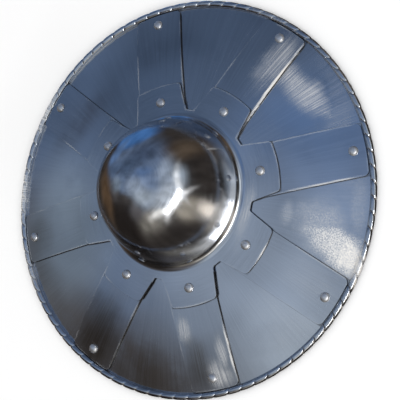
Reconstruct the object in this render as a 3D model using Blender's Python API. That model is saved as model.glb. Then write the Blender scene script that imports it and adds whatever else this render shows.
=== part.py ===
"""A steel buckler lying face up: a dished disc with a roped rim, eight straps, a fist boss and a grip.

Everything is in metres, +Z up. The origin is the point of the floor under the middle of the disc.
The disc is part of a ball, so a sheet that lies on it is part of a slightly larger ball with the
same centre. "Lift" is the distance of such a sheet from the disc's outer face, square to it.
"""

import math

import bmesh
import bpy
from mathutils import Matrix, Vector

# The disc and its roped rim
RIM_RADIUS = 0.180
BEAD_RADIUS = 0.0029  # the edge is rolled forward into a bead of this radius
DISH_RADIUS = 0.590  # the ball that the face is part of
CREASE_HEIGHT = 0.0023  # where the face meets the bead, above the floor
HAND_HOLE_RADIUS = 0.064
BACK_EDGE = 0.1710  # where the back turns down into the bead
FOOT_HALF_WIDTH = 0.0010  # the bead's flat underside, which the shield rests on
SHEET = 0.0015
GAP = 0.0003  # kept between pieces that touch

# The file cuts that make the bead look like rope
CUT_COUNT = 84
CUT_DEPTH = 0.0009
CUT_HALF_WIDTH = 0.0012
CUT_SLANT = 0.0043  # how far a cut runs round the rim on its way over the bead

# The straps, whose sides are parallel
STRAP_COUNT = 8
STRAP_HALF_WIDTH = 0.0230
STRAP_INNER_END = 0.0705
STRAP_OUTER_END = 0.1737
STRAP_CORNER = 0.0050

# The boss: the blunt half of an egg on a flange that is cut into a tab for each strap
EGG_RADIUS = 0.0655
EGG_HALF_LENGTH = 0.0860
EGG_CUT = math.radians(79.3)  # the part of the egg's quarter turn that the dome takes
DOME_OFFSET = Vector((0.0016, 0.0002, 0.0))  # the dome was raised a little off the middle
FILLET = 0.0070
TAB_END = 0.1005
TAB_HALF_WIDTH = 0.0222
TAB_CORNER = 0.0045
TAB_TURN = math.radians(0.8)  # the flange was riveted on turned a little
NOTCH_BOTTOM = 0.0757
NOTCH_HALF_WIDTH = 0.0040  # at the bottom of the notch between two tabs
NOTCH_CORNER = 0.0024

# The rivets
RIM_RIVET_CIRCLE = 0.1630
BOSS_RIVET_CIRCLE = 0.0840
RIVET_HEAD_RADIUS = 0.0043
RIVET_HEAD_HEIGHT = 0.0030
RIVET_SHANK_RADIUS = 0.0025
RIVET_HOLE_RADIUS = 0.0030
RIVET_TAIL_RADIUS = 0.0038
RIVET_TAIL_HEIGHT = 0.0013
RIVET_SIDES = 8

# The grip, held by two opposite rivets of the boss
GRIP_HALF_LENGTH = 0.0960
GRIP_HALF_WIDTH = 0.0110
GRIP_PLATE = 0.0030  # thickness of its flat ends
GRIP_THICKNESS = 0.0120  # thickness in the hand
GRIP_HEIGHT = 0.0170  # middle of the part in the hand, above the floor
GRIP_TAPER = 0.18  # share of its thickness that it loses from its middle to the end of the hand's part
GRIP_HAND_END = 0.0520  # where the hand's part ends
GRIP_PLATE_START = 0.0720  # where it has become a flat plate

STRAP_STEP = 2 * math.pi / STRAP_COUNT
BEAD_CIRCLE = RIM_RADIUS - BEAD_RADIUS
CREASE_RADIUS = BEAD_CIRCLE - BEAD_RADIUS
BALL_CENTRE = Vector((0, 0, CREASE_HEIGHT - math.sqrt(DISH_RADIUS**2 - CREASE_RADIUS**2)))
STRAP_TOP = GAP + SHEET
FLANGE_TOP = 2 * STRAP_TOP
GRIP_TOP = -(SHEET + 2 * GAP)
GRIP_UNDERSIDE = GRIP_TOP - GRIP_PLATE

# How finely round shapes are cut into faces
DISC_SEGMENTS = 64
BOSS_SEGMENTS = 36
GRIP_SIDES = 12
STRAP_CELLS = 5
SMOOTH_ANGLE = math.radians(30)

# Colour, roughness and metallic value of each finish
POLISHED_STEEL = ("polished_steel", (0.50, 0.53, 0.58), 0.26, 1.0)
RIVET_STEEL = ("rivet_steel", (0.62, 0.62, 0.63), 0.22, 1.0)
FORGED_STEEL = ("forged_steel", (0.30, 0.30, 0.31), 0.45, 1.0)


def clear_scene():
    for item in list(bpy.data.objects):
        bpy.data.objects.remove(item, do_unlink=True)


def material(name, colour, roughness, metallic):
    found = bpy.data.materials.get(name)
    if found:
        return found
    made = bpy.data.materials.new(name)
    made.use_nodes = True
    shader = made.node_tree.nodes["Principled BSDF"]
    shader.inputs["Base Color"].default_value = (*colour, 1.0)
    shader.inputs["Roughness"].default_value = roughness
    shader.inputs["Metallic"].default_value = metallic
    return made


def add_object(name, shape, finish):
    """Turns a closed bmesh into a named object with its faces pointing out."""
    bmesh.ops.recalc_face_normals(shape, faces=shape.faces)
    mesh = bpy.data.meshes.new(name)
    shape.to_mesh(mesh)
    shape.free()
    mesh.shade_smooth()
    mesh.set_sharp_from_angle(angle=SMOOTH_ANGLE)
    mesh.materials.append(material(*finish))
    made = bpy.data.objects.new(name, mesh)
    bpy.context.scene.collection.objects.link(made)
    return made


def dish_height(radius, lift=0.0):
    """Height above the floor of a sheet with this lift, at this distance from the axis."""
    return BALL_CENTRE.z + math.sqrt((DISH_RADIUS + lift) ** 2 - radius**2)


def lifted(point, lift):
    """Moves a point of the disc's outer face square to it by the lift."""
    out = (point - BALL_CENTRE).normalized()
    return BALL_CENTRE + out * (DISH_RADIUS + lift)


def ring(shape, places):
    """Adds a ring of vertices and returns it as (angle, vertex) pairs. Places are (angle, point)."""
    return [(angle, shape.verts.new(point)) for angle, point in places]


def dish_ring(shape, count, radius, lift=0.0, rise=0.0, centre=Vector()):
    """A ring of vertices that follows a sheet with this lift, or stands straight above it by the rise."""
    places = []
    for k in range(count):
        angle = 2 * math.pi * k / count
        point = centre + Vector((radius * math.cos(angle), radius * math.sin(angle), 0))
        point.z = dish_height(point.xy.length, lift) + rise
        places.append((angle, point))
    return ring(shape, places)


def stitch(shape, first, second):
    """Joins two rings with triangles. The rings may have different numbers of vertices."""
    turns = [[angle for angle, _ in r] + [r[0][0] + 2 * math.pi] for r in (first, second)]
    i = j = 0
    while i < len(first) or j < len(second):
        a = first[i % len(first)][1]
        b = second[j % len(second)][1]
        next_in_first = j == len(second) or (
            i < len(first) and turns[0][i + 1] <= turns[1][j + 1] + 1e-7
        )
        if next_in_first:
            i += 1
            shape.faces.new((a, b, first[i % len(first)][1]))
        else:
            j += 1
            shape.faces.new((a, b, second[j % len(second)][1]))


def close_with_pole(shape, edge_ring, point):
    pole = shape.verts.new(point)
    for k, (_, vertex) in enumerate(edge_ring):
        shape.faces.new((vertex, edge_ring[(k + 1) % len(edge_ring)][1], pole))


def stitch_all(shape, rings, closed=False):
    for first, second in zip(rings, rings[1:] + (rings[:1] if closed else [])):
        stitch(shape, first, second)


def foot_ring(shape, radius):
    """One edge of the flat underside of the bead."""
    places = []
    for k in range(CUT_COUNT):
        angle = 2 * math.pi * k / CUT_COUNT
        places.append((angle, (radius * math.cos(angle), radius * math.sin(angle), 0)))
    return ring(shape, places)


def bead_ring(shape, turn, cut):
    """One ring along the rolled edge, at this turn round the bead (0 is outwards, 90 degrees is up)."""
    slant = -CUT_SLANT / BEAD_CIRCLE * (math.pi - turn) / math.pi
    half_cut = CUT_HALF_WIDTH / BEAD_CIRCLE
    stations = ((-half_cut, 0.0), (0.0, CUT_DEPTH), (half_cut, 0.0)) if cut else ((0.0, 0.0),)
    places = []
    for k in range(CUT_COUNT):
        for along, depth in stations:
            angle = 2 * math.pi * k / CUT_COUNT + slant + along
            reach = BEAD_RADIUS - depth
            radius = BEAD_CIRCLE + reach * math.cos(turn)
            height = BEAD_RADIUS + reach * math.sin(turn)
            places.append((angle, (radius * math.cos(angle), radius * math.sin(angle), height)))
    return ring(shape, places)


def make_disc():
    """The dished disc with its hand hole and its rolled, roped rim, as one closed body."""
    shape = bmesh.new()
    between = (BOSS_RIVET_CIRCLE + RIM_RIVET_CIRCLE) / 2
    radii = [HAND_HOLE_RADIUS, BOSS_RIVET_CIRCLE, between, RIM_RIVET_CIRCLE]
    face = [dish_ring(shape, DISC_SEGMENTS, r) for r in radii + [CREASE_RADIUS]]
    bead = [bead_ring(shape, math.radians(turn), 0 <= turn <= 100) for turn in (150, 100, 50, 0, -45)]
    foot = [foot_ring(shape, BEAD_CIRCLE + side * FOOT_HALF_WIDTH) for side in (1, -1)]
    back = [dish_ring(shape, DISC_SEGMENTS, r, -SHEET) for r in [BACK_EDGE] + radii[::-1]]
    stitch_all(shape, face + bead + foot + back, closed=True)
    return add_object("disc", shape, POLISHED_STEEL)


def rounded_corner(corner, towards_first, towards_second, radius, steps=3):
    """Points of an arc that rounds off a corner between two directions."""
    first, second = towards_first.normalized(), towards_second.normalized()
    half = first.angle(second) / 2
    reach = radius / math.tan(half)
    start, end = corner + first * reach, corner + second * reach
    centre = corner + (first + second).normalized() * (radius / math.sin(half))
    points = []
    for k in range(steps + 1):
        spoke = (start - centre).lerp(end - centre, k / steps)
        points.append(centre + spoke.normalized() * radius)
    return points


def strap_outline():
    """One strap seen square from the front, along +X: a square inner end, an outer end along the rim."""
    corner = Vector((math.sqrt(STRAP_OUTER_END**2 - STRAP_HALF_WIDTH**2), STRAP_HALF_WIDTH))
    middle = Vector((STRAP_OUTER_END, 0))
    upper = rounded_corner(corner, Vector((-1, 0)), middle - corner, STRAP_CORNER)
    lower = [Vector((p.x, -p.y)) for p in reversed(upper)]
    inner = [Vector((STRAP_INNER_END, side * STRAP_HALF_WIDTH)) for side in (-1, 1)]
    return inner + upper + [middle] + lower


def flat_plate(outline, cuts_along, cuts_across):
    """A flat face with this outline, cut into a grid so that it can follow the dish."""
    shape = bmesh.new()
    shape.faces.new([shape.verts.new((p.x, p.y, 0)) for p in outline])
    cuts = [((x, 0, 0), (1, 0, 0)) for x in cuts_along]
    cuts += [((0, y, 0), (0, 1, 0)) for y in cuts_across]
    for place, normal in cuts:
        everything = shape.verts[:] + shape.edges[:] + shape.faces[:]
        bmesh.ops.bisect_plane(shape, geom=everything, plane_co=place, plane_no=normal, dist=1e-6)
    return shape


def make_strap(number):
    """A strap that lies on the disc: its flat outline is bent to the dish and given its thickness."""
    cell = (STRAP_OUTER_END - STRAP_INNER_END) / STRAP_CELLS
    cuts_along = [STRAP_INNER_END + cell * k for k in range(1, STRAP_CELLS)]
    shape = flat_plate(strap_outline(), cuts_along, (-STRAP_HALF_WIDTH / 3, STRAP_HALF_WIDTH / 3))
    underside = shape.faces[:]
    raised = bmesh.ops.extrude_face_region(shape, geom=underside, use_keep_orig=True)["geom"]
    top = {v for v in raised if isinstance(v, bmesh.types.BMVert)}
    turned = Matrix.Rotation(STRAP_STEP * number, 3, "Z")
    for vertex in shape.verts:
        flat = turned @ vertex.co
        flat.z = dish_height(flat.xy.length)
        vertex.co = lifted(flat, STRAP_TOP if vertex in top else GAP)
    return add_object(f"strap_{number + 1}", shape, POLISHED_STEEL)


def tab_outline():
    """The flange's edge from the middle of one notch to the next, with the tab between them on +X."""
    tab_corner = Vector((math.sqrt(TAB_END**2 - TAB_HALF_WIDTH**2), TAB_HALF_WIDTH))
    half_turn = Matrix.Rotation(STRAP_STEP / 2, 2)
    notch_middle = half_turn @ Vector((NOTCH_BOTTOM, 0))
    notch_corner = half_turn @ Vector((NOTCH_BOTTOM, -NOTCH_HALF_WIDTH))
    tab_middle = Vector((TAB_END, 0))
    side = [notch_middle]
    side += rounded_corner(
        notch_corner, notch_middle - notch_corner, tab_corner - notch_corner, NOTCH_CORNER
    )
    side += rounded_corner(tab_corner, notch_corner - tab_corner, tab_middle - tab_corner, TAB_CORNER)
    lower = [Vector((p.x, -p.y)) for p in side[1:]]
    return lower + [tab_middle] + list(reversed(side))


def flange_ring(shape, drop):
    """The ring of vertices along the edge of the whole flange."""
    places = []
    for k in range(STRAP_COUNT):
        turned = Matrix.Rotation(STRAP_STEP * k + TAB_TURN, 2)
        for flat in tab_outline():
            place = turned @ flat
            angle = math.atan2(flat.y, flat.x) + STRAP_STEP * k + TAB_TURN
            height = dish_height(place.length, FLANGE_TOP) - drop
            places.append((angle, (place.x, place.y, height)))
    return ring(shape, places)


def egg_point(turn, inwards):
    """(tilt of the egg's side, distance from its axis, height above its middle), seen from outside."""
    tilt = math.atan2(EGG_HALF_LENGTH * math.sin(turn), EGG_RADIUS * math.cos(turn))
    across = EGG_RADIUS * math.sin(turn) - inwards * math.sin(tilt)
    height = EGG_HALF_LENGTH * math.cos(turn) - inwards * math.cos(tilt)
    return tilt, across, height


def dome_profile(thickness):
    """(distance from the dome's axis, height above the flange) from the top down to the flange.

    With a thickness it is the hidden side of the sheet, which has fewer steps.
    """
    dome_steps, fillet_steps = (5, 2) if thickness else (8, 3)
    steepest, fillet_across, fillet_height = egg_point(EGG_CUT, -FILLET)
    profile = []
    for k in range(dome_steps):
        _, across, height = egg_point(EGG_CUT * k / dome_steps, thickness)
        profile.append((across, height - fillet_height + FILLET))
    for k in range(fillet_steps + 1):
        tilt = steepest * (1 - k / fillet_steps)
        reach = FILLET + thickness
        profile.append((fillet_across - reach * math.sin(tilt), FILLET - reach * math.cos(tilt)))
    return profile


def make_boss():
    """The dome and its tabbed flange, raised from one sheet."""
    shape = bmesh.new()
    sides = []
    for thickness in (0.0, SHEET):
        (_, top_rise), *profile = dome_profile(thickness)
        rings = [
            dish_ring(shape, BOSS_SEGMENTS, across, FLANGE_TOP, rise, DOME_OFFSET)
            for across, rise in profile
        ]
        rings.append(flange_ring(shape, thickness))
        stitch_all(shape, rings)
        top = DOME_OFFSET.copy()
        top.z = dish_height(DOME_OFFSET.length, FLANGE_TOP) + top_rise
        close_with_pole(shape, rings[0], top)
        sides.append(rings)
    stitch(shape, sides[0][-1], sides[1][-1])
    return add_object("boss", shape, POLISHED_STEEL)


def rivet_frame(circle, number):
    """Puts a rivet on the disc's outer face with its axis square to the face."""
    angle = STRAP_STEP * number
    foot = Vector((circle * math.cos(angle), circle * math.sin(angle), 0))
    foot.z = dish_height(circle)
    out = (foot - BALL_CENTRE).normalized()
    return Matrix.Translation(foot) @ out.to_track_quat("Z", "X").to_matrix().to_4x4()


def make_rivet(name, frame, head_lift, tail_lift):
    """A dome-headed rivet that goes through every sheet between its head and its hammered tail."""
    profile = []
    for degrees in (0, 30, 60, 90):
        turn = math.radians(degrees)
        height = head_lift + RIVET_HEAD_HEIGHT * math.cos(turn)
        profile.append((RIVET_HEAD_RADIUS * math.sin(turn), height))
    profile += [
        (RIVET_SHANK_RADIUS, head_lift),
        (RIVET_SHANK_RADIUS, tail_lift),
        (RIVET_TAIL_RADIUS, tail_lift),
        (0.0, tail_lift - RIVET_TAIL_HEIGHT),
    ]
    shape = bmesh.new()
    corners = [shape.verts.new((radius, 0, height)) for radius, height in profile]
    line = [shape.edges.new(pair) for pair in zip(corners, corners[1:])]
    bmesh.ops.spin(
        shape, geom=corners + line, axis=(0, 0, 1), angle=2 * math.pi, steps=RIVET_SIDES
    )
    bmesh.ops.remove_doubles(shape, verts=shape.verts[:], dist=1e-6)
    rivet = add_object(name, shape, RIVET_STEEL)
    rivet.matrix_world = frame
    return rivet


def make_rivets():
    """One rivet at each strap's outer end and one through each tab. The grip is on tabs 1 and 5."""
    for k in range(STRAP_COUNT):
        make_rivet(
            f"rim_rivet_{k + 1}", rivet_frame(RIM_RIVET_CIRCLE, k), STRAP_TOP + GAP, -(SHEET + GAP)
        )
        behind = GRIP_UNDERSIDE if k % (STRAP_COUNT // 2) == 0 else -SHEET
        make_rivet(
            f"boss_rivet_{k + 1}", rivet_frame(BOSS_RIVET_CIRCLE, k), FLANGE_TOP + GAP, behind - GAP
        )


def make_hole_cutter():
    """One prism for each rivet hole, through every sheet there."""
    shape = bmesh.new()
    half_length = 0.02
    for circle in (RIM_RIVET_CIRCLE, BOSS_RIVET_CIRCLE):
        for k in range(STRAP_COUNT):
            bmesh.ops.create_cone(
                shape,
                cap_ends=True,
                segments=RIVET_SIDES,
                radius1=RIVET_HOLE_RADIUS,
                radius2=RIVET_HOLE_RADIUS,
                depth=2 * half_length,
                matrix=rivet_frame(circle, k),
            )
    cutter = add_object("rivet_holes", shape, FORGED_STEEL)
    cutter.hide_render = True
    cutter.display_type = "WIRE"
    return cutter


def drill(piece, cutter):
    drilled = piece.modifiers.new("rivet holes", "BOOLEAN")
    drilled.operation = "DIFFERENCE"
    drilled.object = cutter


def grip_section(distance):
    """(middle height, half thickness, flatness) of the grip, this far from its middle.

    Its flatness goes from 0, where the section is an oval, to 1, where it is nearly a rectangle.
    """
    plate_middle = (GRIP_TOP + GRIP_UNDERSIDE) / 2
    share = (distance - GRIP_HAND_END) / (GRIP_PLATE_START - GRIP_HAND_END)
    share = min(max(share, 0.0), 1.0)
    flatness = share * share * (3 - 2 * share)
    middle = GRIP_HEIGHT + (dish_height(distance, plate_middle) - GRIP_HEIGHT) * flatness
    oval = GRIP_THICKNESS * (1 - GRIP_TAPER * (distance / GRIP_HAND_END) ** 2)
    half_thickness = (oval * (1 - flatness) + GRIP_PLATE * flatness) / 2
    return middle, half_thickness, flatness


def make_grip():
    """A forged bar across the hand hole: an oval middle and flat ends bent to the back of the disc."""
    shape = bmesh.new()
    bend = (GRIP_PLATE_START - GRIP_HAND_END) / 3
    distances = [GRIP_HAND_END / 2] + [GRIP_HAND_END + bend * k for k in range(4)]
    distances += [BOSS_RIVET_CIRCLE, GRIP_HALF_LENGTH]
    rings = []
    for x in [-d for d in reversed(distances)] + [0.0] + distances:
        middle, half_thickness, flatness = grip_section(abs(x))
        power = 1 - 0.75 * flatness
        places = []
        for k in range(GRIP_SIDES):
            angle = 2 * math.pi * (k + 0.5) / GRIP_SIDES
            across = math.copysign(abs(math.cos(angle)) ** power, math.cos(angle))
            up = math.copysign(abs(math.sin(angle)) ** power, math.sin(angle))
            places.append((angle, (x, GRIP_HALF_WIDTH * across, middle + half_thickness * up)))
        rings.append(ring(shape, places))
    stitch_all(shape, rings)
    for end in (rings[0], rings[-1]):
        shape.faces.new([vertex for _, vertex in end])
    return add_object("grip", shape, FORGED_STEEL)


def main():
    clear_scene()
    cutter = make_hole_cutter()
    drilled = [make_disc(), make_boss(), make_grip()]
    drilled += [make_strap(k) for k in range(STRAP_COUNT)]
    for piece in drilled:
        drill(piece, cutter)
    make_rivets()


main()
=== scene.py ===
"""The looks of a steel buckler: polished sheets, roped rim, rivets and grip, on a pale studio floor.

Everything is in metres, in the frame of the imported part, with +Z out of the shield's face. Each sheet
is turned as part of a ball, as a smith would hammer it over a former, and trimmed to its outline.
"""

import math

import bmesh
import bpy
from bpy.props import FloatProperty, FloatVectorProperty, IntProperty, PointerProperty
from mathutils import Matrix, Vector


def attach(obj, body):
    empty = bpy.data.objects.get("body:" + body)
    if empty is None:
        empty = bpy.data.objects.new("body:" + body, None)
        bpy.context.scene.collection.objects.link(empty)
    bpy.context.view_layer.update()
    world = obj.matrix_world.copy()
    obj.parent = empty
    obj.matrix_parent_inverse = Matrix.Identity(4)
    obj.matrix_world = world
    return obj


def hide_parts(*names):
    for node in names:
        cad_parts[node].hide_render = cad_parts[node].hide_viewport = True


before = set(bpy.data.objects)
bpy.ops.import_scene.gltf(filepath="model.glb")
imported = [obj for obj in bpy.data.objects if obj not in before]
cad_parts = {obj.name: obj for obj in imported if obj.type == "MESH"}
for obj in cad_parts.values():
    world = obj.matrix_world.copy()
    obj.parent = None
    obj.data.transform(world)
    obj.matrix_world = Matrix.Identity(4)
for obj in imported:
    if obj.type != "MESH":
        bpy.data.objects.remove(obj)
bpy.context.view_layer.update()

bl_info = {
    "name": "Buckler shield looks",
    "version": (1, 0, 0),
    "blender": (4, 5, 0),
    "location": "3D View > Sidebar > Buckler",
    "description": "Builds a polished steel buckler, piece by piece",
    "category": "Add Mesh",
}

STRAPS = range(1, 9)
STEP = 2 * math.pi / len(STRAPS)
# The tabs whose rivets also hold the grip
GRIP_TABS = (1, 5)


def length(name, description, default):
    return FloatProperty(name=name, description=description, default=default, unit="LENGTH", precision=5)


def angle(name, description, degrees):
    default = math.radians(degrees)
    return FloatProperty(name=name, description=description, default=default, subtype="ANGLE")


def colour(name, description, default):
    return FloatVectorProperty(
        name=name, description=description, default=default, subtype="COLOR", min=0, max=1
    )


class BucklerSizes(bpy.types.PropertyGroup):
    """Sizes that the looks share with the solids."""

    rim_radius: length("Rim radius", "Middle to the outside of the rim", 0.17997)
    bead_radius: length("Bead radius", "Half the thickness of the rolled rim", 0.0029)
    dish_radius: length("Dish radius", "Radius of the ball that the face is part of", 0.590)
    crease_height: length("Crease height", "Where the face meets the rolled rim", 0.0023)
    hand_hole: length("Hand hole", "Radius of the hole behind the boss", 0.064)
    back_edge: length("Back edge", "Where the back turns down into the rolled rim", 0.171)
    foot: length("Foot", "Half the width of the rim's flat underside", 0.0010)
    sheet: length("Sheet", "Thickness of every sheet", 0.0015)
    gap: length("Gap", "Space between neighbouring sheets", 0.0003)
    edge: length("Edge", "Width of the softened edge of a sheet", 0.00045)
    cuts: IntProperty(name="Cuts", description="File cuts round the rim", default=84, min=8)
    cut_slant: length("Cut slant", "How far a cut runs along the rim on its way over it", 0.0043)
    strap_half_width: length("Strap half width", "Half the width of a strap", 0.0230)
    strap_start: length("Strap start", "Inner end of a strap", 0.0705)
    strap_end: length("Strap end", "Outer end of a strap", 0.1737)
    strap_corner: length("Strap corner", "Radius of a strap's outer corners", 0.0050)
    egg_radius: length("Egg radius", "Radius of the egg that the dome is part of", 0.0655)
    egg_length: length("Egg length", "Half the length of the egg that the dome is part of", 0.0860)
    egg_cut: angle("Egg cut", "The part of the egg's quarter turn that the dome takes", 79.3)
    dome_offset_x: length("Dome offset X", "How far off the middle the dome was raised, along X", 0.0016)
    dome_offset_y: length("Dome offset Y", "How far off the middle the dome was raised, along Y", 0.0002)
    fillet: length("Fillet", "Radius between the dome and its flange", 0.0070)
    tab_end: length("Tab end", "Middle to the end of a tab", 0.1005)
    tab_half_width: length("Tab half width", "Half the width of a tab's end", 0.0222)
    tab_corner: length("Tab corner", "Radius of a tab's corners", 0.0045)
    tab_turn: angle("Tab turn", "How far the flange was riveted on turned", 0.8)
    notch_bottom: length("Notch bottom", "Middle to the bottom of the notch between two tabs", 0.0757)
    notch_half_width: length("Notch half width", "Half the width of the notch's bottom", 0.0040)
    notch_corner: length("Notch corner", "Radius of the notch's corners", 0.0024)
    rim_rivets: length("Rim rivets", "Radius of the circle of rivets near the rim", 0.1630)
    boss_rivets: length("Boss rivets", "Radius of the circle of rivets round the boss", 0.0840)
    rivet_hole: length("Rivet hole", "Radius of a rivet's hole", 0.0029)
    rivet_head: length("Rivet head", "Radius of a rivet's head", 0.0043)
    rivet_rise: length("Rivet rise", "Height of a rivet's head", 0.0030)
    rivet_shank: length("Rivet shank", "Radius of a rivet's shank", 0.0025)
    rivet_tail: length("Rivet tail", "Radius of a rivet's hammered tail", 0.0038)
    rivet_tail_drop: length("Rivet tail height", "Height of a rivet's hammered tail", 0.0013)
    grip_half_width: length("Grip half width", "Half the width of the grip", 0.0107)
    grip_thickness: length("Grip thickness", "Thickness of the grip in the hand", 0.0120)
    grip_height: length("Grip height", "Middle of the grip in the hand, above the floor", 0.0170)
    grip_taper: FloatProperty(
        name="Grip taper", description="Share of its thickness that the grip loses towards its ends",
        default=0.18, min=0, max=1,
    )
    grip_plate: length("Grip plate", "Thickness of the grip's flat ends", 0.0030)


class BucklerLooks(bpy.types.PropertyGroup):
    """Colours of the finishes."""

    steel: colour("Steel", "Colour of the polished sheets", (0.56, 0.58, 0.62))
    rivet: colour("Rivets", "Colour of the rivets", (0.6196, 0.6196, 0.6314))
    forged: colour("Forged steel", "Colour of the grip", (0.30, 0.30, 0.31))


# ---------------------------------------------------------------- modelling helpers

# Sharper edges than these, in degrees, are softened on a sheet, and stay sharp in a piece's shading
SOFTENED, SHARP_ON_SHEETS, SHARP = 50, 35, 40
# Bottom of the blocks that sheets are trimmed with, and their tops for the straps and the boss
BLOCK_BOTTOM, STRAP_BLOCK_TOP, BOSS_BLOCK_TOP = -0.1, 0.1, 0.2
HOLE_DEPTH = 0.04


def activate(piece):
    bpy.ops.object.select_all(action="DESELECT")
    piece.select_set(True)
    bpy.context.view_layer.objects.active = piece


def name_piece(name):
    """Names the active object and its mesh."""
    piece = bpy.context.active_object
    piece.name = name
    piece.data.name = name
    return piece


def pick(piece, mode, test):
    """Selects the vertices or edges that pass the test, in edit mode. Mode is VERT or EDGE."""
    bpy.ops.mesh.select_mode(type=mode)
    bpy.ops.mesh.select_all(action="DESELECT")
    shape = bmesh.from_edit_mesh(piece.data)
    for item in shape.verts if mode == "VERT" else shape.edges:
        if test(item):
            item.select_set(True)
    shape.select_flush_mode()
    bmesh.update_edit_mesh(piece.data)


def draw_line(name, points, closed=True):
    """A line through the points, drawn by extruding one vertex along it. Stays in edit mode."""
    bpy.ops.object.select_all(action="DESELECT")
    bpy.ops.mesh.primitive_plane_add(size=0.001, location=points[0])
    piece = name_piece(name)
    bpy.ops.object.transform_apply(location=True)
    bpy.ops.object.mode_set(mode="EDIT")
    bpy.ops.mesh.select_mode(type="VERT")
    bpy.ops.mesh.merge(type="CENTER")
    for here, there in zip(points, points[1:] + (points[:1] if closed else [])):
        bpy.ops.mesh.extrude_region_move(TRANSFORM_OT_translate={"value": there - here})
    bpy.ops.mesh.select_all(action="SELECT")
    bpy.ops.mesh.remove_doubles(threshold=1e-6)
    return piece


def block(name, outline, top):
    """An upright block with this outline."""
    piece = draw_line(name, [Vector((p.x, p.y, BLOCK_BOTTOM)) for p in outline])
    bpy.ops.mesh.edge_face_add()
    bpy.ops.mesh.extrude_region_move(TRANSFORM_OT_translate={"value": (0, 0, top - BLOCK_BOTTOM)})
    bpy.ops.object.mode_set(mode="OBJECT")
    finish_mesh(piece)
    return piece


def place_in_mesh(piece):
    activate(piece)
    bpy.ops.object.transform_apply(location=True, rotation=True, scale=True)


def finish_mesh(piece):
    """Merges doubles and turns every face outwards. Expects object mode."""
    activate(piece)
    bpy.ops.object.mode_set(mode="EDIT")
    bpy.ops.mesh.select_all(action="SELECT")
    bpy.ops.mesh.remove_doubles(threshold=2e-6)
    bpy.ops.mesh.normals_make_consistent(inside=False)
    bpy.ops.object.mode_set(mode="OBJECT")


def turn_picked(angle):
    """Turns the selection round the Z axis, counter-clockwise seen from above. Expects edit mode."""
    bpy.ops.transform.rotate(value=-angle, orient_axis="Z", center_override=(0, 0, 0))


def turn_profile(name, points, angle, steps, closed=True, axis_at=0.0):
    """Turns a profile round an upright axis, to both sides of the XZ plane unless it goes all the way."""
    centre = (axis_at, 0, 0)
    piece = draw_line(name, points, closed)
    if angle < 2 * math.pi:
        bpy.ops.transform.rotate(value=angle / 2, orient_axis="Z", center_override=centre)
    bpy.ops.mesh.spin(steps=steps, angle=-angle, center=centre, axis=(0, 0, 1))
    bpy.ops.object.mode_set(mode="OBJECT")
    return piece


def apply_modifier(piece, kind, **values):
    activate(piece)
    modifier = piece.modifiers.new(kind.title(), kind)
    for key, value in values.items():
        setattr(modifier, key, value)
    bpy.ops.object.modifier_apply(modifier=modifier.name)


def discard(*pieces):
    for piece in pieces:
        bpy.data.objects.remove(piece, do_unlink=True)


def trim(piece, cutter, operation):
    """Keeps what is inside the cutter (INTERSECT) or outside it (DIFFERENCE), and uses the cutter up."""
    apply_modifier(piece, "BOOLEAN", operation=operation, object=cutter)
    discard(cutter)


def shade_smooth(piece, degrees=SHARP):
    activate(piece)
    bpy.ops.object.shade_smooth_by_angle(angle=math.radians(degrees))


def soften_edges(piece, width):
    """Rounds a sheet's sharp edges a little and leaves its faces shaded as they were."""
    apply_modifier(
        piece, "BEVEL", width=width, segments=2, limit_method="ANGLE",
        angle_limit=math.radians(SOFTENED), harden_normals=False,
    )
    shade_smooth(piece, SHARP_ON_SHEETS)
    apply_modifier(piece, "WEIGHTED_NORMAL", keep_sharp=True, weight=100)


def turned_copy(piece, name, angle):
    """A copy with its own mesh, turned round the Z axis."""
    copy = piece.copy()
    copy.data = piece.data.copy()
    copy.name = copy.data.name = name
    bpy.context.scene.collection.objects.link(copy)
    copy.rotation_euler.z = angle
    place_in_mesh(copy)
    return copy


def dress(piece, material, slot_name, *nodes):
    """Gives a finished piece its finish, hangs it under the root and hides the solids that it stands for."""
    piece.data.materials.clear()
    piece.data.materials.append(material)
    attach(piece, "root")
    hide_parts(*nodes)


# ---------------------------------------------------------------- the ball that the sheets follow


def ball_centre(sizes):
    crease = sizes.rim_radius - 2 * sizes.bead_radius
    return Vector((0, 0, sizes.crease_height - math.sqrt(sizes.dish_radius**2 - crease**2)))


def on_ball(sizes, radius, lift):
    """Point of the profile in the XZ plane, on a sheet with this lift above the disc's face."""
    height = ball_centre(sizes).z + math.sqrt((sizes.dish_radius + lift) ** 2 - radius**2)
    return Vector((radius, 0, height))


def ball_line(sizes, start, end, lift, steps):
    return [on_ball(sizes, start + (end - start) * k / steps, lift) for k in range(steps + 1)]


def strap_lift(sizes):
    return sizes.gap + sizes.sheet


def flange_lift(sizes):
    return 2 * strap_lift(sizes)


def rounded_corner(corner, towards_first, towards_second, radius, steps=6):
    """Points of an arc that rounds off a corner between two directions."""
    first, second = towards_first.normalized(), towards_second.normalized()
    half = first.angle(second) / 2
    start, end = (corner + way * radius / math.tan(half) for way in (first, second))
    centre = corner + (first + second).normalized() * (radius / math.sin(half))
    spokes = [(start - centre).lerp(end - centre, k / steps) for k in range(steps + 1)]
    return [centre + spoke.normalized() * radius for spoke in spokes]


def arc(radius, start, end, steps):
    """Points between two angles of a circle round the middle, without its ends."""
    angles = [start + (end - start) * k / steps for k in range(1, steps)]
    return [Vector((radius * math.cos(a), radius * math.sin(a))) for a in angles]


def mirrored(points):
    return [Vector((p.x, -p.y)) for p in points]


# ---------------------------------------------------------------- the disc and its roped rim

# Half a strand of the rope, from a file cut: (share of the way to the next cut, share of full thickness)
STRAND = ((0.0, 0.66), (0.075, 0.90), (0.17, 0.965), (0.32, 0.992), (0.5, 1.0))
# The parts of the bead, in degrees round it from the outside, that a cut reaches with a third of its depth
CUT_REACH = ((-12, 128), (-28, 143), (-43, 158))
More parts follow.
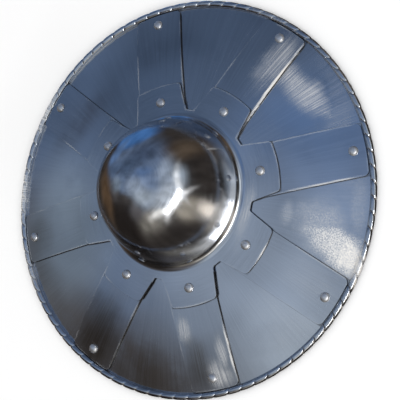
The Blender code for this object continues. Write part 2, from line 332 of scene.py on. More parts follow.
# Where the bead's profile has its points, in degrees round it, from the crease to just above the foot
BEAD_TURNS = range(180, -61, -15)
# Points further than this many of its radii from the bead's middle aren't on the bead
BEAD_MARGIN = 1.3
# The two edges of the foot, in degrees round the bead: (where, share of the whole slant)
FOOT_SLANTS = ((-71, 1.1), (-109, 0.7))


def bead_circle(sizes):
    return sizes.rim_radius - sizes.bead_radius


def disc_profile(sizes):
    """Hand hole, face, crease, rolled edge, foot and back, as a closed line."""
    middle, reach = bead_circle(sizes), sizes.bead_radius
    edge = sizes.edge
    face = [on_ball(sizes, sizes.hand_hole, -edge)]
    face += ball_line(sizes, sizes.hand_hole + edge, middle - reach, 0, 18)
    bead = []
    for degrees in BEAD_TURNS:
        turn = math.radians(degrees)
        bead.append(Vector((middle + reach * math.cos(turn), 0, reach + reach * math.sin(turn))))
    foot = [Vector((middle + side * sizes.foot, 0, 0)) for side in (1, -1)]
    back = ball_line(sizes, sizes.back_edge, sizes.hand_hole + edge, -sizes.sheet, 15)
    back.append(on_ball(sizes, sizes.hand_hole, edge - sizes.sheet))
    return face + bead + foot + back


def bead_turn(sizes, place):
    """Degrees round the bead from its outside, for a point on the bead. None for any other point."""
    across, up = place.xy.length - bead_circle(sizes), place.z - sizes.bead_radius
    if math.hypot(across, up) > BEAD_MARGIN * sizes.bead_radius:
        return None
    degrees = math.degrees(math.atan2(up, across))
    return degrees if degrees > -135 else degrees + 360


def shape_strands(piece, sizes, period):
    """Spaces the columns of one period like a strand, thins the bead towards the cuts and slants it."""
    columns = list(STRAND) + [(1 - share, thickness) for share, thickness in reversed(STRAND[:-1])]
    count = len(columns) - 1
    middle = bead_circle(sizes)

    def angle_of(vertex):
        return math.atan2(vertex.co.y, vertex.co.x)

    def turn_of(vertex):
        turn = bead_turn(sizes, vertex.co)
        return -999 if turn is None else turn

    for number in list(range(1, count // 2)) + list(range(count - 1, count // 2, -1)):
        even = period * number / count
        pick(piece, "VERT", lambda v: abs(angle_of(v) - even) < 1e-4)
        turn_picked(period * columns[number][0] - even)
    for share, thickness in columns:
        angle = period * share
        centre = (middle * math.cos(angle), middle * math.sin(angle), sizes.bead_radius)
        for low, high in CUT_REACH:
            pick(piece, "VERT", lambda v: abs(angle_of(v) - angle) < 1e-4 and low < turn_of(v) < high)
            bpy.ops.transform.resize(value=[thickness ** (1 / 3)] * 3, center_override=centre)
    for degrees, share in (*((turn, (180 - turn) / 180) for turn in BEAD_TURNS), *FOOT_SLANTS):
        pick(piece, "VERT", lambda v: abs(turn_of(v) - degrees) < 2)
        turn_picked(-sizes.cut_slant / middle * share)


def model_disc(sizes):
    """One period of the disc, from a cut to the next, repeated all the way round."""
    period = 2 * math.pi / sizes.cuts
    count = 2 * (len(STRAND) - 1)
    piece = draw_line("fine_disc", disc_profile(sizes))
    bpy.ops.mesh.spin(steps=count, angle=-period, center=(0, 0, 0), axis=(0, 0, 1))
    shape_strands(piece, sizes, period)
    bpy.ops.object.mode_set(mode="OBJECT")
    bpy.ops.object.empty_add(rotation=(0, 0, period))
    turn = bpy.context.active_object
    apply_modifier(
        piece, "ARRAY", count=sizes.cuts, use_relative_offset=False, use_object_offset=True,
        offset_object=turn, use_merge_vertices=True, use_merge_vertices_cap=True, merge_threshold=2e-5,
    )
    discard(turn)
    finish_mesh(piece)
    shade_smooth(piece)
    return piece


# ---------------------------------------------------------------- straps and boss


def strap_outline(sizes):
    """One strap seen square from the front, along +X: a square inner end, an outer end along the rim."""
    reach, half = sizes.strap_end, sizes.strap_half_width
    corner = Vector((math.sqrt(reach**2 - half**2), half))
    along_end = Vector((half, -corner.x))
    upper = rounded_corner(corner, Vector((-1, 0)), along_end, sizes.strap_corner)
    turn = math.atan2(upper[-1].y, upper[-1].x)
    inner = [Vector((sizes.strap_start, side * half)) for side in (-1, 1)]
    return inner + upper + arc(reach, turn, -turn, 12) + mirrored(upper[::-1])


# The blank that a strap is cut from: how far it goes past the strap's two ends, where on the X axis the
# upright axis stands that it is turned round, and how wide the turn is, in degrees
BLANK_MARGINS = (0.004, 0.002)
BLANK_AXIS = -0.10
BLANK_TURN = 24


def model_straps(sizes):
    """A sheet turned over the same former as the disc, trimmed to a strap's outline and copied round."""
    start, end = sizes.strap_start - BLANK_MARGINS[0], sizes.strap_end + BLANK_MARGINS[1]
    lines = ball_line(sizes, start, end, strap_lift(sizes), 18) + ball_line(sizes, end, start, sizes.gap, 9)
    first = turn_profile("fine_strap_1", lines, math.radians(BLANK_TURN), 16, axis_at=BLANK_AXIS)
    finish_mesh(first)
    trim(first, block("strap_block", strap_outline(sizes), STRAP_BLOCK_TOP), "INTERSECT")
    drill(sizes, first, [1], (sizes.rim_rivets,))
    soften_edges(first, sizes.edge)
    straps = [turned_copy(first, f"fine_strap_{k}", STEP * (k - 1)) for k in STRAPS if k > 1]
    return [first] + straps


def tab_outline(sizes):
    """The flange's edge from the middle of one notch to the next, with the tab between them on +X."""
    reach, half = sizes.tab_end, sizes.tab_half_width
    half_turn = Matrix.Rotation(STEP / 2, 2)
    corner = Vector((math.sqrt(reach**2 - half**2), half))
    bottom = half_turn @ Vector((sizes.notch_bottom, 0))
    low = half_turn @ Vector((sizes.notch_bottom, -sizes.notch_half_width))
    side = [bottom] + rounded_corner(low, bottom - low, corner - low, sizes.notch_corner)
    side += rounded_corner(corner, low - corner, Vector((half, -corner.x)), sizes.tab_corner)
    turn = math.atan2(side[-1].y, side[-1].x)
    return mirrored(side[1:]) + arc(reach, -turn, turn, 12) + side[::-1]


def flange_outline(sizes):
    points = []
    for k in STRAPS:
        turned = Matrix.Rotation(STEP * (k - 1) + sizes.tab_turn, 2)
        points += [turned @ p for p in tab_outline(sizes)]
    return points


def egg_point(sizes, turn, inwards):
    """(tilt of the egg's side, distance from its axis, height above its middle)."""
    tilt = math.atan2(sizes.egg_length * math.sin(turn), sizes.egg_radius * math.cos(turn))
    across = sizes.egg_radius * math.sin(turn) - inwards * math.sin(tilt)
    return tilt, across, sizes.egg_length * math.cos(turn) - inwards * math.cos(tilt)


# Steps of the boss's profile over the dome, the fillet and the flange, on its outer and its inner side
BOSS_STEPS = ((30, 10, 6), (20, 6, 4))
FLANGE_MARGIN = 0.003


def boss_profile(sizes):
    """Outer side from the top of the dome down to beyond the tabs, then the inner side back up."""
    lines = []
    steepest, fillet_across, fillet_height = egg_point(sizes, sizes.egg_cut, -sizes.fillet)
    for thickness, (dome_steps, fillet_steps, edge_steps) in zip((0.0, sizes.sheet), BOSS_STEPS):
        places = []
        for k in range(dome_steps):
            _, across, height = egg_point(sizes, sizes.egg_cut * k / dome_steps, thickness)
            places.append((across, height - fillet_height + sizes.fillet))
        reach = sizes.fillet + thickness
        for k in range(fillet_steps + 1):
            tilt = steepest * (1 - k / fillet_steps)
            places.append((fillet_across - reach * math.sin(tilt), sizes.fillet - reach * math.cos(tilt)))
        line = [on_ball(sizes, across, flange_lift(sizes)) + Vector((0, 0, rise)) for across, rise in places]
        start, end = places[-1][0], sizes.tab_end + FLANGE_MARGIN
        line += ball_line(sizes, start, end, flange_lift(sizes) - thickness, edge_steps)[1:]
        lines.append(line)
    return lines[0] + lines[1][::-1]


def model_boss(sizes):
    """The dome on its flange, turned as one, set a little off the middle and trimmed into tabs."""
    piece = turn_profile("fine_boss", boss_profile(sizes), 2 * math.pi, 160, closed=False)
    finish_mesh(piece)
    centre = ball_centre(sizes)
    offset = Vector((sizes.dome_offset_x, sizes.dome_offset_y, 0))
    aim = Vector((0, 0, 1)).rotation_difference(offset + Vector((0, 0, -centre.z)))
    piece.matrix_world = Matrix.Translation(centre) @ aim.to_matrix().to_4x4() @ Matrix.Translation(-centre)
    place_in_mesh(piece)
    trim(piece, block("boss_block", flange_outline(sizes), BOSS_BLOCK_TOP), "INTERSECT")
    drill(sizes, piece, STRAPS, (sizes.boss_rivets,))
    soften_edges(piece, sizes.edge)
    return piece


# ---------------------------------------------------------------- rivets and grip


def rivet_place(sizes, circle, number):
    """Puts something on the disc's outer face with its axis square to the face."""
    angle = STEP * (number - 1)
    foot = on_ball(sizes, circle, 0)
    foot.rotate(Matrix.Rotation(angle, 3, "Z"))
    out = (foot - ball_centre(sizes)).normalized()
    return Matrix.Translation(foot) @ out.to_track_quat("Z", "X").to_matrix().to_4x4()


def drill(sizes, piece, numbers, circles):
    """Makes the rivet holes at these straps, on these rivet circles."""
    cutters = []
    for circle in circles:
        for number in numbers:
            bpy.ops.mesh.primitive_cylinder_add(vertices=24, radius=sizes.rivet_hole, depth=HOLE_DEPTH)
            cutter = name_piece("hole")
            cutter.matrix_world = rivet_place(sizes, circle, number)
            cutters.append(cutter)
    activate(cutters[0])
    for cutter in cutters:
        cutter.select_set(True)
    if len(cutters) > 1:
        bpy.ops.object.join()
    trim(piece, cutters[0], "DIFFERENCE")


# The hammered tail below its widest ring: (share of its radius, share of its height)
TAIL_RINGS = ((0.93, 0.15), (0.72, 0.45), (0.4, 0.8), (0.0, 1.0))


def model_rivet(sizes, name, head_lift, tail_lift):
    """A rivet standing on the origin: domed head above, shank, hammered tail below."""
    line = []
    for k in range(9):
        turn = math.pi / 2 * k / 8
        line.append((sizes.rivet_head * math.sin(turn), head_lift + sizes.rivet_rise * math.cos(turn)))
    line += [(sizes.rivet_shank, head_lift), (sizes.rivet_shank, tail_lift), (sizes.rivet_tail, tail_lift)]
    for share, drop in TAIL_RINGS:
        line.append((sizes.rivet_tail * share, tail_lift - sizes.rivet_tail_drop * drop))
    points = [Vector((across, 0, height)) for across, height in line]
    piece = turn_profile(name, points, 2 * math.pi, 32, closed=False)
    finish_mesh(piece)
    shade_smooth(piece)
    return piece


def model_rivets(sizes):
    """Three lengths of rivet, copied to every strap end and tab."""
    on_strap, on_flange = strap_lift(sizes) + sizes.gap, flange_lift(sizes) + sizes.gap
    behind = -(sizes.sheet + sizes.gap)
    behind_grip = behind - 2 * sizes.gap - sizes.grip_plate
    kinds = {"rim": (on_strap, behind), "boss": (on_flange, behind), "grip": (on_flange, behind_grip)}
    models = {kind: model_rivet(sizes, kind + "_kind", *lifts) for kind, lifts in kinds.items()}
    rivets = {}
    for number in STRAPS:
        for place, circle in (("rim", sizes.rim_rivets), ("boss", sizes.boss_rivets)):
            kind = "grip" if place == "boss" and number in GRIP_TABS else place
            rivet = turned_copy(models[kind], f"fine_{place}_rivet_{number}", 0)
            rivet.matrix_world = rivet_place(sizes, circle, number)
            place_in_mesh(rivet)
            rivets[f"{place}_rivet_{number}"] = rivet
    discard(*models.values())
    return rivets


# Stations of the grip from its middle: (distance, flatness). 0 is an oval section, 1 a flat plate.
GRIP_STATIONS = (
    (0.0, 0.0), (0.018, 0.0), (0.036, 0.0), (0.050, 0.0), (0.0545, 0.12), (0.060, 0.42), (0.066, 0.78),
    (0.071, 1.0), (0.0765, 1.0), (0.084, 1.0), (0.0905, 1.0), (0.0955, 1.0),
)
# Half the length of the part for the hand, over which the taper runs
GRIP_HAND = 0.052
# How sharp the bar's long edges stay beyond these distances: (distance, crease)
GRIP_CREASES = ((0.055, 0.45), (0.0655, 0.55))


def grip_section(sizes, distance, flatness):
    """Middle height of the grip this far from its middle, and (across, up) of its side and top corners."""
    lift = -(sizes.sheet + 2 * sizes.gap + sizes.grip_plate / 2)
    plate = on_ball(sizes, distance, lift).z
    middle = sizes.grip_height + (plate - sizes.grip_height) * flatness
    across = sizes.grip_half_width
    up = sizes.grip_thickness / 2 * (1 - sizes.grip_taper * (distance / GRIP_HAND) ** 2)
    thin = sizes.grip_plate / 2
    oval = Vector((1.02 * across, 0.42 * up, 0.42 * across, 1.02 * up))
    flat = Vector((across, 0.6 * thin, across - 0.4 * thin, thin))
    return middle, oval.lerp(flat, flatness)


def along_bar(edge):
    return abs(edge.verts[0].co.x - edge.verts[1].co.x) > 1e-3


def model_grip(sizes):
    """A bar drawn out ring by ring from its middle to one flat end, then mirrored."""
    bpy.ops.object.select_all(action="DESELECT")
    bpy.ops.mesh.primitive_circle_add(vertices=8, radius=1, rotation=(0, math.pi / 2, 0))
    piece = name_piece("fine_grip")
    bpy.ops.object.transform_apply(location=True, rotation=True)
    bpy.ops.object.mode_set(mode="EDIT")
    bpy.ops.mesh.select_all(action="SELECT")
    bpy.ops.transform.rotate(value=math.pi / 8, orient_axis="X", center_override=(0, 0, 0))
    far, near = math.cos(math.pi / 8), math.sin(math.pi / 8)
    place, corners = Vector((0, 0, 0)), Vector((far, near, near, far))

    def at_place(vertex):
        return abs(vertex.co.x - place.x) < 1e-5

    for distance, flatness in GRIP_STATIONS:
        middle, wanted = grip_section(sizes, distance, flatness)
        there = Vector((distance, 0, middle))
        pick(piece, "VERT", at_place)
        if distance:
            bpy.ops.mesh.extrude_region_move(TRANSFORM_OT_translate={"value": there - place})
        else:
            bpy.ops.transform.translate(value=there - place)
        place = there
        ring = [v for v in bmesh.from_edit_mesh(piece.data).verts if at_place(v)]
        chosen = [{v.index for v in ring if abs(abs(v.co.y) - corners[k]) < 1e-5} for k in (0, 2)]
        for numbers, k in zip(chosen, (0, 2)):
            pick(piece, "VERT", lambda v: v.index in numbers)
            scale = (1, wanted[k] / corners[k], wanted[k + 1] / corners[k + 1])
            bpy.ops.transform.resize(value=scale, center_override=place)
        corners = wanted
    pick(piece, "VERT", at_place)
    bpy.ops.mesh.edge_face_add()
    pick(piece, "EDGE", lambda e: all(at_place(v) for v in e.verts))
    bpy.ops.transform.edge_crease(value=1)
    for start, crease in GRIP_CREASES:
        pick(piece, "EDGE", lambda e: e.verts[0].co.x > start and e.verts[1].co.x > start and along_bar(e))
        bpy.ops.transform.edge_crease(value=crease)
    bpy.ops.object.mode_set(mode="OBJECT")
    apply_modifier(piece, "MIRROR", use_axis=(True, False, False), merge_threshold=1e-5)
    apply_modifier(piece, "SUBSURF", levels=2, render_levels=2)
    finish_mesh(piece)
    drill(sizes, piece, GRIP_TABS, (sizes.boss_rivets,))
    shade_smooth(piece)
    return piece


# ---------------------------------------------------------------- finishes

# What lies on the steel: (colour, how much it adds to the roughness). The pale one is a painted sheen on
# worn places, the brown one is stains, and the dark one is painted shade with grime at the seams.
SCOURED_SHEEN = ((0.86, 0.83, 0.78, 1), 0.3)
STAINED = ((0.17, 0.13, 0.08, 1), 0.0)
SEAM_SHADE_AND_DIRT = ((0.11, 0.095, 0.08, 1), 0.35)
# How much of its metallic look the steel keeps under the painted sheen of the worn places
SCOURED_SHEEN_METALLIC = 0.1
# How far outside a sheet's outline a line begins and is full, in metres; below zero is inside. Outside is
# the line of painted shade with grime on the sheet below, inside is the painted highlight along the edge.
SHADE_AND_DIRT_LINE = (0.0010, 0.0003)
EDGE_HIGHLIGHT_LINE = (-0.0016, -0.0006)
# Strength of the painted highlight line inside a sheet's edge, and of the line of painted shade with grime
# where it is faint and where it is dark
EDGE_HIGHLIGHT_STRENGTH = 0.28
SHADE_AND_DIRT_STRENGTHS = (0.25, 0.65)
# Noises, as (scale, detail, roughness): what breaks the lines up, and the grain of the stippled wear with
# its painted sheen
LINE_BREAKS = (28.0, 4.0, 0.5)
STIPPLE_GRAIN = (900.0, 2.0, 0.7)
# The finer grinder marks against the coarser ones: (how much denser, how much shorter), and their weight
FINE_MARKS = (3.1, 1.7)
FINE_SHARE = 0.5
# Round the boss, how many times denser the marks lie than their count
ROUND_DENSITY = 9.0


class Graph:
    """Adds nodes to a shader tree. Every input is given as a socket or as a plain value."""

    def __init__(self, tree):
        self.tree = tree

    def feed(self, socket, value):
        if isinstance(value, bpy.types.NodeSocket):
            self.tree.links.new(value, socket)
        elif value is not None:
            socket.default_value = value

    def add(self, kind, inputs=None, **settings):
        """Adds a node, fills its inputs by name or number, and gives its outputs."""
        node = self.tree.nodes.new(kind)
        for key, value in settings.items():
            setattr(node, key, value)
        for label, value in (inputs or {}).items():
            self.feed(node.inputs[label], value)
        return node.outputs

    def use(self, name, **values):
        """Adds a shared group, which is made the first time it is used."""
        group = bpy.data.node_groups.get(name) or SHARED_GROUPS[name]()
        inputs = {label.capitalize(): value for label, value in values.items()}
        return self.add("ShaderNodeGroup", inputs, node_tree=group)

    def number(self, operation, first, second=None):
        return self.add("ShaderNodeMath", {0: first, 1: second}, operation=operation)[0]

    def plus(self, first, second):
        return self.number("ADD", first, second)

    def less(self, first, second):
        return self.number("SUBTRACT", first, second)

    def times(self, first, second):
        return self.number("MULTIPLY", first, second)

    def most(self, first, second):
        """The larger of two masks. The first may be None."""
        return self.number("MAXIMUM", first, second) if first else second

    def vector(self, operation, first, second=None):
        outputs = self.add("ShaderNodeVectorMath", {0: first, 1: second}, operation=operation)
        return outputs["Value" if operation == "LENGTH" else "Vector"]

    def scaled(self, vector, factor):
        return self.add("ShaderNodeVectorMath", {0: vector, "Scale": factor}, operation="SCALE")[0]

    def flat(self, place):
        """The place without its height."""
        return self.vector("MULTIPLY", place, (1, 1, 0))

    def radius(self, place):
        return self.vector("LENGTH", self.flat(place))

    def axes(self, vector):
        return self.add("ShaderNodeSeparateXYZ", {0: vector})

    def point(self, x=0.0, y=0.0, z=0.0):
        return self.add("ShaderNodeCombineXYZ", {0: x, 1: y, 2: z})[0]

    def noise(self, place, scale, detail, roughness=0.5):
        inputs = {"Vector": place, "Scale": scale, "Detail": detail, "Roughness": roughness}
        return self.add("ShaderNodeTexNoise", inputs)["Fac"]

    def drift(self, place, scale, detail):
        """A noise that points this way and that, by up to a half."""
        noise = self.add("ShaderNodeTexNoise", {"Vector": place, "Scale": scale, "Detail": detail})
        return self.vector("SUBTRACT", noise["Color"], (0.5, 0.5, 0.5))

    def card(self, place, middle, size, turn, **settings):
        """Where the place lies on a card whose middle is zero and whose edges are one."""
        inputs = {"Vector": place, "Location": middle, "Rotation": turn, "Scale": size}
        return self.add("ShaderNodeMapping", inputs, vector_type="TEXTURE", **settings)[0]

    def remap(self, value, low, high, new_low=0.0, new_high=1.0, curve="SMOOTHSTEP"):
        inputs = {"Value": value, "From Min": low, "From Max": high, "To Min": new_low, "To Max": new_high}
        return self.add("ShaderNodeMapRange", inputs, interpolation_type=curve)["Result"]

    def mix(self, factor, first, second):
        """A blend of two colours."""
        return self.add("ShaderNodeMix", {0: factor, 6: first, 7: second}, data_type="RGBA")[2]

    def bump(self, height, depth, below=None):
        """Turns a 0 to 1 height into a normal, this deep in metres."""
        inputs = {"Strength": 1.0, "Distance": depth, "Height": height, "Normal": below}
        return self.add("ShaderNodeBump", inputs)["Normal"]


def new_group(name, inputs, outputs):
    """A group with these named inputs, None for a vector or a number's default, and outputs of numbers."""
    tree = bpy.data.node_groups.new(name, "ShaderNodeTree")
    for label, default in inputs.items():
        kind = "NodeSocketVector" if default is None else "NodeSocketFloat"
        socket = tree.interface.new_socket(label, in_out="INPUT", socket_type=kind)
        if default is not None:
            socket.default_value = default
    for label in outputs:
        tree.interface.new_socket(label, in_out="OUTPUT", socket_type="NodeSocketFloat")
    given, out = tree.nodes.new("NodeGroupInput"), tree.nodes.new("NodeGroupOutput")
    return Graph(tree), given.outputs, out.inputs


def brush_marks_group():
    """Fine marks from the grinder. They run outwards over the sheets, or round the boss."""
    graph, given, out = new_group(
        "brush marks", {"Vector": None, "Count": 90.0, "Run": 8.0, "Round": 0.0}, ("Marks",)
    )
    place, count, run = given["Vector"], given["Count"], given["Run"]
    parts, radius = graph.axes(place), graph.radius(place)
    spoke = graph.scaled(graph.vector("NORMALIZE", graph.flat(place)), count)
    outwards = graph.vector("ADD", spoke, graph.point(z=graph.times(radius, run)))
    down = graph.times(graph.less(radius, parts["Z"]), graph.times(count, ROUND_DENSITY))
    level = graph.point(graph.times(parts["X"], run), graph.times(parts["Y"], run), down)
    chosen = graph.add("ShaderNodeMix", {0: given["Round"], 4: outwards, 5: level}, data_type="VECTOR")
    graph.feed(out["Marks"], graph.noise(chosen[1], 1.0, 3.0, 0.6))
    return graph.tree


def clouding_group():
    """Broad patches where the polish is duller, and the shallow hollows of hand work."""
    graph, given, out = new_group(
        "clouding", {"Vector": None, "Offset": 0.0, "Scale": 14.0, "Hollows": 22.0}, ("Dull", "Height")
    )
    offset = given["Offset"]
    place = graph.vector("ADD", given["Vector"], graph.point(offset, offset, offset))
    graph.feed(out["Dull"], graph.remap(graph.noise(place, given["Scale"], 6.0, 0.62), 0.42, 0.66))
    graph.feed(out["Height"], graph.noise(place, given["Hollows"], 1.0, 0.4))
    return graph.tree


def stain_and_sheen_patch_group():
    """An oval patch with drifting edges, made up of scratches or of a fine grain."""
    inputs = {"Vector": None, "Scratches": 0.5, "Middle": None, "Size": None, "Turn": 0.0, "Strength": 1.0}
    graph, given, out = new_group("stain and sheen patch", inputs, ("Mask",))
    card = graph.card(given["Vector"], given["Middle"], given["Size"], graph.point(z=given["Turn"]))
    moved = graph.vector("ADD", card, graph.drift(given["Vector"], 45.0, 5.0))
    inside = graph.remap(graph.radius(moved), 1.3, 0.2)
    scratched = graph.remap(given["Scratches"], 0.38, 0.66, 0.50, 1.0)
    graph.feed(out["Mask"], graph.times(graph.times(inside, scratched), given["Strength"]))
    return graph.tree


def seam_shade_and_dirt_group():
    """The dark line of painted shade, with grime, on the upright edge of a sheet, further out than the
    start.
    """
    graph, given, out = new_group("seam shade and grime", {"Vector": None, "Start": 0.08}, ("Mask",))
    facing = graph.axes(graph.add("ShaderNodeTexCoord")["Normal"])["Z"]
    steep = graph.remap(graph.number("ABSOLUTE", facing), 0.4, 0.1)
    outside = graph.number("GREATER_THAN", graph.radius(given["Vector"]), given["Start"])
    graph.feed(out["Mask"], graph.times(steep, outside))
    return graph.tree


def ring_outline_group():
    """How far a place lies outside a ring of eight straps or tabs; below zero inside it."""
    inputs = {"Turn": 0.0, "Reach": 0.17, "Corner": 0.17, "Half": 0.02, "Taper": 0.0, "Core": 0.07}
    graph, given, out = new_group("ring outline", {"Vector": None, **inputs}, ("Distance",))
    parts, radius = graph.axes(given["Vector"]), graph.radius(given["Vector"])
    turn = graph.less(graph.number("ARCTAN2", parts["Y"], parts["X"]), given["Turn"])
    steps = graph.number("ROUND", graph.number("DIVIDE", turn, STEP))
    folded = graph.less(turn, graph.times(steps, STEP))
    along = graph.times(radius, graph.number("COSINE", folded))
    aside = graph.number("ABSOLUTE", graph.times(radius, graph.number("SINE", folded)))
    slant = graph.times(graph.less(along, given["Corner"]), graph.number("SINE", given["Taper"]))
    square = graph.times(graph.less(aside, given["Half"]), graph.number("COSINE", given["Taper"]))
    from_arm = graph.most(graph.plus(slant, square), graph.less(radius, given["Reach"]))
    from_core = graph.less(radius, given["Core"])
    graph.feed(out["Distance"], graph.number("MINIMUM", from_arm, from_core))
    return graph.tree


SHARED_GROUPS = {
    "brush marks": brush_marks_group,
    "clouding": clouding_group,
    "stain and sheen patch": stain_and_sheen_patch_group,
    "seam shade and grime": seam_shade_and_dirt_group,
    "ring outline": ring_outline_group,
}


def blotches(graph, place, scratches, front, patches):
    """The mask of several patches on the front, for the stains and for the worn places with their painted
    sheen.
    """
    mask = None
    for middle, size, turn, strength in patches:
        patch = graph.use(
            "stain and sheen patch", vector=place, scratches=scratches, middle=(*middle, 0.0), size=(*size, 1.0),
            turn=math.radians(turn), strength=graph.times(front, strength),
        )
        mask = graph.most(mask, patch["Mask"])
    return mask


def sheen_and_scouring(graph, place, scratches, front, broken, patches, stipples, own):
    """The mask of what is painted bright: worn patches and stipples with a painted sheen, and a broken
    painted highlight inside the own outline.
    """
    mask = blotches(graph, place, scratches, front, patches)
    if stipples:
        grain = graph.noise(place, *STIPPLE_GRAIN)
        mask = graph.most(mask, blotches(graph, place, grain, front, stipples))
    # A broken painted highlight just inside the sheet's own edge
    if own:
        distance = graph.use("ring outline", vector=place, **own)["Distance"]
        line = graph.times(graph.remap(distance, *EDGE_HIGHLIGHT_LINE), broken)
        mask = graph.most(mask, graph.times(line, graph.times(front, EDGE_HIGHLIGHT_STRENGTH)))
    return mask


def shade_and_dirt(graph, place, front, broken, sheen_and_scoured, seams, above):
    """The mask of painted shade with grime: on upright edges unless the sheen is painted there, and in a
    line round each sheet above.
    """
    mask = None
    if seams:
        mask = graph.use("seam shade and grime", vector=place, start=seams)["Mask"]
        if sheen_and_scoured:
            mask = graph.times(mask, graph.remap(sheen_and_scoured, 0.0, 0.7, 1.0, 0.0))
    for outline in above:
        distance = graph.use("ring outline", vector=place, **outline)["Distance"]
        strength = graph.remap(broken, 0.0, 1.0, *SHADE_AND_DIRT_STRENGTHS)
        line = graph.times(graph.remap(distance, *SHADE_AND_DIRT_LINE), strength)
        mask = graph.most(mask, graph.times(line, front))
    return mask


def steel(
    name, tone, roughness, dulling, mark_depth, hollow_depth, count, run, rounded=0, offset=0.0,
    patches=(), stipples=(), stains=(), own=None, above=(), seams=0.0,
):
    """Polished or worn steel with grinder marks, dull clouds and hand-worked hollows.

    The count and run set how fine and how short the marks are, and rounded lets them run round. Patches
    and stipples are worn places with a painted sheen, a broken line inside its own outline is a painted
    highlight, and stains are brown. Upright edges further out than seams are dark with painted shade and
    grime, and so is a line round each outline above.
    """
    made = bpy.data.materials.new(name)
    made.use_nodes = True
    graph = Graph(made.node_tree)
    shader = made.node_tree.nodes["Principled BSDF"].inputs
    shader["Metallic"].default_value = 1.0
    coordinates = graph.add("ShaderNodeTexCoord")
    place = coordinates["Object"]
    front = graph.number("GREATER_THAN", graph.axes(coordinates["Normal"])["Z"], 0.0)
    clouds = graph.use("clouding", vector=place, offset=offset)
    coarse, fine = (
        graph.use("brush marks", vector=place, count=denser * count, run=shorter * run, round=rounded)
        for denser, shorter in ((1, 1), FINE_MARKS)
    )
    marks, fine = coarse["Marks"], fine["Marks"]
    both = graph.plus(marks, graph.times(fine, FINE_SHARE))
    patchy = graph.times(both, graph.remap(clouds["Dull"], 0.0, 1.0, 0.35, 1.0))
    hollows = graph.bump(clouds["Height"], hollow_depth)
    graph.feed(shader["Normal"], graph.bump(patchy, mark_depth, hollows))
    dull = graph.remap(clouds["Dull"], 0.0, 1.0, roughness, roughness + dulling)
    rough = graph.times(dull, graph.remap(marks, 0.35, 0.65, 0.9, 1.15))
    dark, bright = ((*(min(share * c, 1) for c in tone), 1) for share in (0.96, 1.03))
    colour = graph.mix(graph.remap(both, 0.5, 1.0), dark, bright)
    broken = graph.remap(graph.noise(place, *LINE_BREAKS), 0.38, 0.64)
    sheen_and_scoured = sheen_and_scouring(graph, place, fine, front, broken, patches, stipples, own)
    if sheen_and_scoured:
        graph.feed(shader["Metallic"], graph.remap(sheen_and_scoured, 0.0, 1.0, 1.0, SCOURED_SHEEN_METALLIC))
    # The painted sheen, the brown stains and the painted shade with grime, laid over the steel in turn
    layers = (
        (sheen_and_scoured, SCOURED_SHEEN),
        (blotches(graph, place, fine, front, stains), STAINED),
        (shade_and_dirt(graph, place, front, broken, sheen_and_scoured, seams, above), SEAM_SHADE_AND_DIRT),
    )
    for mask, (tint, roughening) in layers:
        if mask:
            colour = graph.mix(mask, colour, tint)
        if mask and roughening:
            rough = graph.plus(rough, graph.times(mask, roughening))
    graph.feed(shader["Roughness"], rough)
    graph.feed(shader["Base Color"], colour)
    return made


# Places on the sheets: (middle, half size, turn in degrees, strength). The patches and stipples are worn
# places with a painted sheen, the thin ones are painted highlights along the rim and the sheets' edges, and
# the stains are brown.
DISC_PATCHES = (
    ((0.065, -0.128), (0.048, 0.015), 36, 0.58),
    ((-0.0405, -0.100), (0.008, 0.012), 60, 0.35),
    ((0.020, -0.158), (0.085, 0.020), 0, 0.24),
    ((-0.125, -0.090), (0.050, 0.040), 40, 0.12),
    ((0.115, 0.137), (0.044, 0.007), -40, 0.70),
    ((0.046, 0.173), (0.044, 0.007), -15, 0.80),
    ((-0.031, 0.176), (0.044, 0.007), 10, 0.45),
    ((0.1755, -0.0310), (0.040, 0.006), 80, 0.20),
    ((0.1405, -0.1098), (0.040, 0.006), 52, 0.24),
)
DISC_STIPPLES = (
    ((-0.074, -0.133), (0.036, 0.016), 47, 0.85),
    ((-0.086, -0.141), (0.022, 0.019), 45, 1.10),
    ((-0.046, -0.159), (0.034, 0.010), -15, 0.28),
    ((-0.056, -0.125), (0.028, 0.026), 0, 0.42),
)
STRAP_PATCHES = (
    ((0.094, -0.110), (0.036, 0.016), -45, 0.45),
    ((0.0727, -0.1041), (0.052, 0.0020), -45, 1.30),
    ((-0.0225, -0.130), (0.0014, 0.046), 0, 0.75),
    ((-0.145, -0.0225), (0.030, 0.0016), 0, 1.00),
    ((-0.119, 0.015), (0.016, 0.007), 0, 0.50),
    ((-0.143, -0.015), (0.018, 0.006), 0, 0.45),
    ((-0.163, -0.008), (0.016, 0.014), 0, 0.50),
    ((-0.100, -0.110), (0.034, 0.020), 48, 0.16),
)
DISC_STAINS = (
    ((-0.146, 0.058), (0.024, 0.026), 68, 0.50),
    ((-0.045, 0.155), (0.040, 0.018), 15, 0.30),
)
STRAP_STAINS = (
    ((-0.101, 0.104), (0.036, 0.022), 135, 0.80),
    ((-0.150, 0.010), (0.024, 0.013), 0, 0.65),
    ((0.000, 0.155), (0.016, 0.020), 90, 0.35),
)
# Painted glare on the dome's lower side, and a painted highlight along a tab's edge
BOSS_PATCHES = (
    ((-0.034, -0.065), (0.030, 0.007), -27, 0.40),
    ((-0.033, -0.0485), (0.015, 0.011), -33, 0.40),
    ((-0.034, -0.084), (0.010, 0.008), 60, 0.25),
    ((-0.0705, -0.0722), (0.022, 0.0018), -45, 1.00),
)


def plain_material(name, tone, roughness, metallic=0.0):
    """One colour and one gloss all over, with no marks."""
    made = bpy.data.materials.new(name)
    made.use_nodes = True
    shader = made.node_tree.nodes["Principled BSDF"].inputs
    for label, value in (("Base Color", (*tone, 1)), ("Roughness", roughness), ("Metallic", metallic)):
        shader[label].default_value = value
    return made


